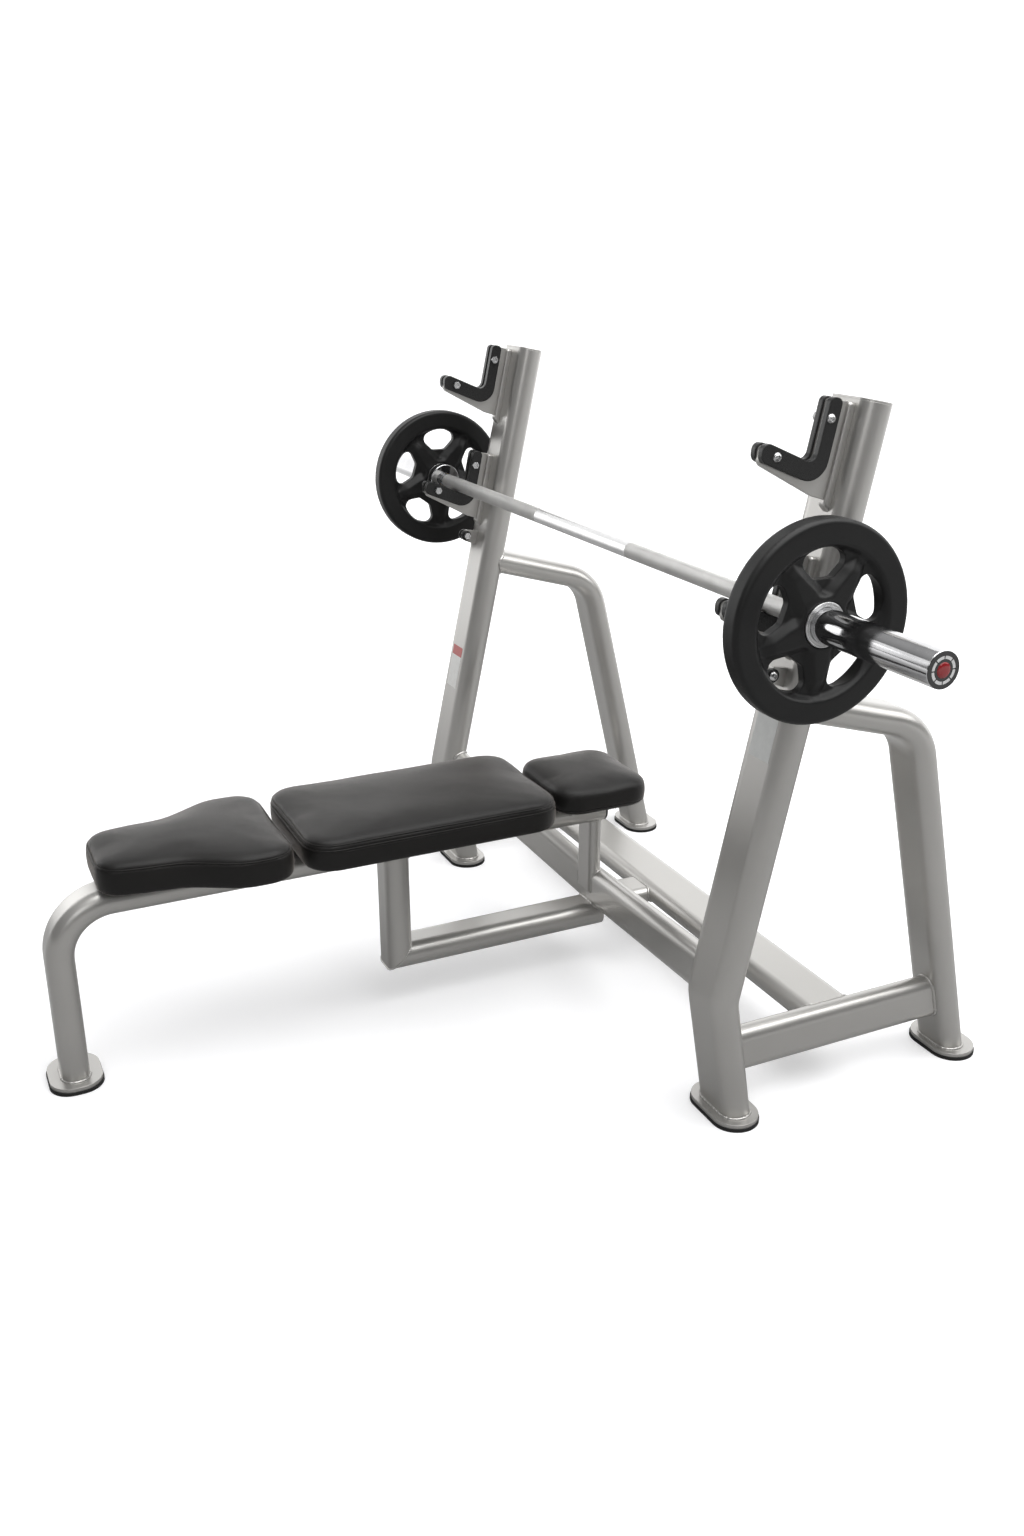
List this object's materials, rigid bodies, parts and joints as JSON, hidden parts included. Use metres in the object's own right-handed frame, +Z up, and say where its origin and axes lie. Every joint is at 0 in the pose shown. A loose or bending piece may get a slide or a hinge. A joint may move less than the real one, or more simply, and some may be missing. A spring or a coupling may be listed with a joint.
{
  "type": "olympic bench press",
  "caption": "Flat bench press station: welded flat-oval tube frame with padded bench, lined J-shaped bar hooks at low and high positions, and a racked barbell carrying round grip plates.",
  "frame": {"origin": "centre of the machine's footprint on the floor: on the symmetry plane, halfway between the tip of the bench foot sole and the back of the rear foot soles", "axes": "+Z up; +X along the racked bar, to the right seen from the foot end of the bench; +Y from the foot end towards the uprights and rear legs"},
  "size_m": [1.9052, 1.537, 1.1634],
  "materials": {
    "frame_paint": "satin metallic silver-grey powder coat",
    "cap_paint": "satin metallic silver-grey powder coat",
    "sole_rubber": "matte moulded rubber",
    "vinyl": "black upholstery vinyl, fine grain",
    "board": "black-stained plywood",
    "bracket_steel": "satin metallic silver-grey powder coat",
    "hook_steel": "satin metallic silver-grey powder coat",
    "liner": "matte black moulded nylon",
    "fastener": "bright zinc-plated steel",
    "label": "blank printed film",
    "plug": "matte black plastic",
    "shaft_steel": "knurled bright steel",
    "sleeve_chrome": "polished hard chrome",
    "bushing": "machined bronze",
    "spring_steel": "oiled spring steel",
    "end_cap": "gloss black plastic",
    "cap_ring": "bright aluminium",
    "cap_badge": "gloss red plastic, no mark",
    "plate_rubber": "matte black moulded rubber",
    "plate_hub": "machined steel"
  },
  "bodies": {
    "frame": {"upright_right": "frame_paint", "upright_left": "frame_paint", "upright_caps": "cap_paint", "rear_leg_right": "frame_paint", "rear_leg_left": "frame_paint", "side_rail_right": "frame_paint", "side_rail_left": "frame_paint", "front_crossbeam": "frame_paint", "rear_crossbeam": "frame_paint", "crossbeam_link": "frame_paint", "bench_spine": "frame_paint", "mid_post": "frame_paint", "lower_tube": "frame_paint", "rear_stub": "frame_paint", "spine_end_plug": "plug", "side_foot_plates": "cap_paint", "side_foot_soles": "sole_rubber", "bench_foot_plate": "cap_paint", "bench_foot_sole": "sole_rubber", "seat_pad": "vinyl", "back_pad": "vinyl", "head_pad": "vinyl", "seat_board": "board", "back_board": "board", "head_board": "board", "pad_brackets": "bracket_steel", "pad_bolts": "fastener", "hook_plate_upper_right": "hook_steel", "hook_plate_upper_left": "hook_steel", "hook_plate_lower_right": "hook_steel", "hook_plate_lower_left": "hook_steel", "hook_liners_outer_right": "liner", "hook_liners_inner_right": "liner", "hook_liners_outer_left": "liner", "hook_liners_inner_left": "liner", "hook_bases": "hook_steel", "bumper_lugs": "hook_steel", "bumper_discs": "liner", "hook_screws": "fastener", "hook_nuts": "fastener", "upright_labels": "label"},
    "barbell": {"bar_shaft": "shaft_steel", "shaft_retaining_rings": "spring_steel"},
    "sleeve_right": {"sleeve_right": "sleeve_chrome", "sleeve_collar_right": "sleeve_chrome", "sleeve_bushings_right": "bushing", "sleeve_cap_right": "end_cap", "cap_ring_right": "cap_ring", "cap_badge_right": "cap_badge"},
    "plate_right": {"plate_rubber_right": "plate_rubber", "plate_hub_right": "plate_hub"},
    "sleeve_left": {"sleeve_left": "sleeve_chrome", "sleeve_collar_left": "sleeve_chrome", "sleeve_bushings_left": "bushing", "sleeve_cap_left": "end_cap", "cap_ring_left": "cap_ring", "cap_badge_left": "cap_badge"},
    "plate_left": {"plate_rubber_left": "plate_rubber", "plate_hub_left": "plate_hub"}
  },
  "joints": [
    {"name": "bar_lift_out", "type": "slide", "parent": "frame", "child": "barbell", "axis": [0, -0.541, 0.841], "range_m": [0, 0.3]},
    {"name": "sleeve_spin_right", "type": "hinge", "parent": "barbell", "child": "sleeve_right", "pos_m": [0.8, 0.271, 0.875], "axis": [1, 0, 0], "continuous": true},
    {"name": "sleeve_spin_left", "type": "hinge", "parent": "barbell", "child": "sleeve_left", "pos_m": [-0.8, 0.271, 0.875], "axis": [1, 0, 0], "continuous": true},
    {"name": "plate_slide_right", "type": "slide", "parent": "sleeve_right", "child": "plate_right", "axis": [1, 0, 0], "range_m": [0, 0.3]},
    {"name": "plate_slide_left", "type": "slide", "parent": "sleeve_left", "child": "plate_left", "axis": [-1, 0, 0], "range_m": [0, 0.3]}
  ]
}
